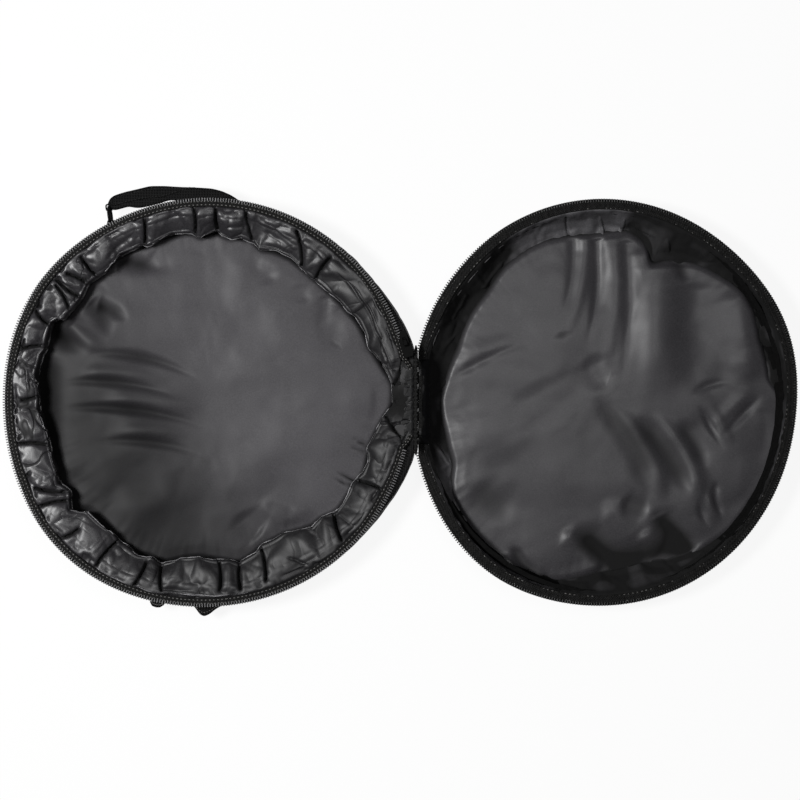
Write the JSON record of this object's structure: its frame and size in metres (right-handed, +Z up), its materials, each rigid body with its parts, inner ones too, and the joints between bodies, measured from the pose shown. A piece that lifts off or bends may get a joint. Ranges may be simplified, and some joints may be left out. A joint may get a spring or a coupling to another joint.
{
  "type": "pandeiro bag",
  "caption": "Round padded zip case for a frame drum, lying open: a deep base and a shallow lid on a fabric hinge, with a side carry handle and satin lining.",
  "frame": {"origin": "centre of the base half's underside, on the surface it lies on", "axes": "+X from the base half across the hinge to the lid half, +Y towards the carry handle, +Z up out of the open trays"},
  "size_m": [0.699, 0.381, 0.0476],
  "materials": {
    "shell": "black woven nylon",
    "lining": "grey satin",
    "foam": "open cell padding",
    "coil": "nylon zip coil",
    "slider": "black enamel",
    "webbing": "black polypropylene webbing"
  },
  "bodies": {
    "base": {"base_outer_panel": "shell", "base_foam_panel": "foam", "base_lining_panel": "lining", "base_piping": "shell", "base_gusset_outer": "shell", "base_gusset_foam": "foam", "base_gusset_lining": "lining", "base_zip_coil": "coil", "base_zip_tape": "shell", "base_rim_binding": "shell", "hinge_fold": "shell", "base_hinge_web": "lining", "ring_patch": "webbing", "handle_patch": "webbing", "ring_tab_loop": "webbing", "strap_anchor_tab": "webbing", "strap_loop_stub": "webbing"},
    "lid": {"lid_outer_panel": "shell", "lid_foam_panel": "foam", "lid_lining_panel": "lining", "lid_piping": "shell", "lid_gusset_outer": "shell", "lid_gusset_foam": "foam", "lid_gusset_lining": "lining", "lid_zip_coil": "coil", "lid_zip_tape": "shell", "lid_rim_binding": "shell", "lid_hinge_web": "lining"},
    "handle": {"handle_webbing": "webbing", "handle_ring": "slider", "handle_end_loop": "webbing"},
    "slider": {"slider_body": "slider", "slider_crown": "slider"},
    "pull": {"pull_tab": "slider"}
  },
  "joints": [
    {"name": "lid_hinge", "type": "hinge", "parent": "base", "child": "lid", "pos_m": [0.183, 0, 0.038], "axis": [0, -1, 0], "range_deg": [0, 180]},
    {"name": "handle_swing", "type": "hinge", "parent": "base", "child": "handle", "pos_m": [-0.08893, 0.16586, 0.02389], "axis": [0.9931, 0.117, 0], "range_deg": [-45, 40]},
    {"name": "slider_travel", "type": "hinge", "parent": "base", "child": "slider", "pos_m": [0, 0, 0], "axis": [0, 0, 1], "range_deg": [0, 326.8]},
    {"name": "pull_flip", "type": "hinge", "parent": "slider", "child": "pull", "pos_m": [0.17359, 0.05223, 0.04535], "axis": [0.9622, 0.2722, 0], "range_deg": [0, 175]}
  ]
}
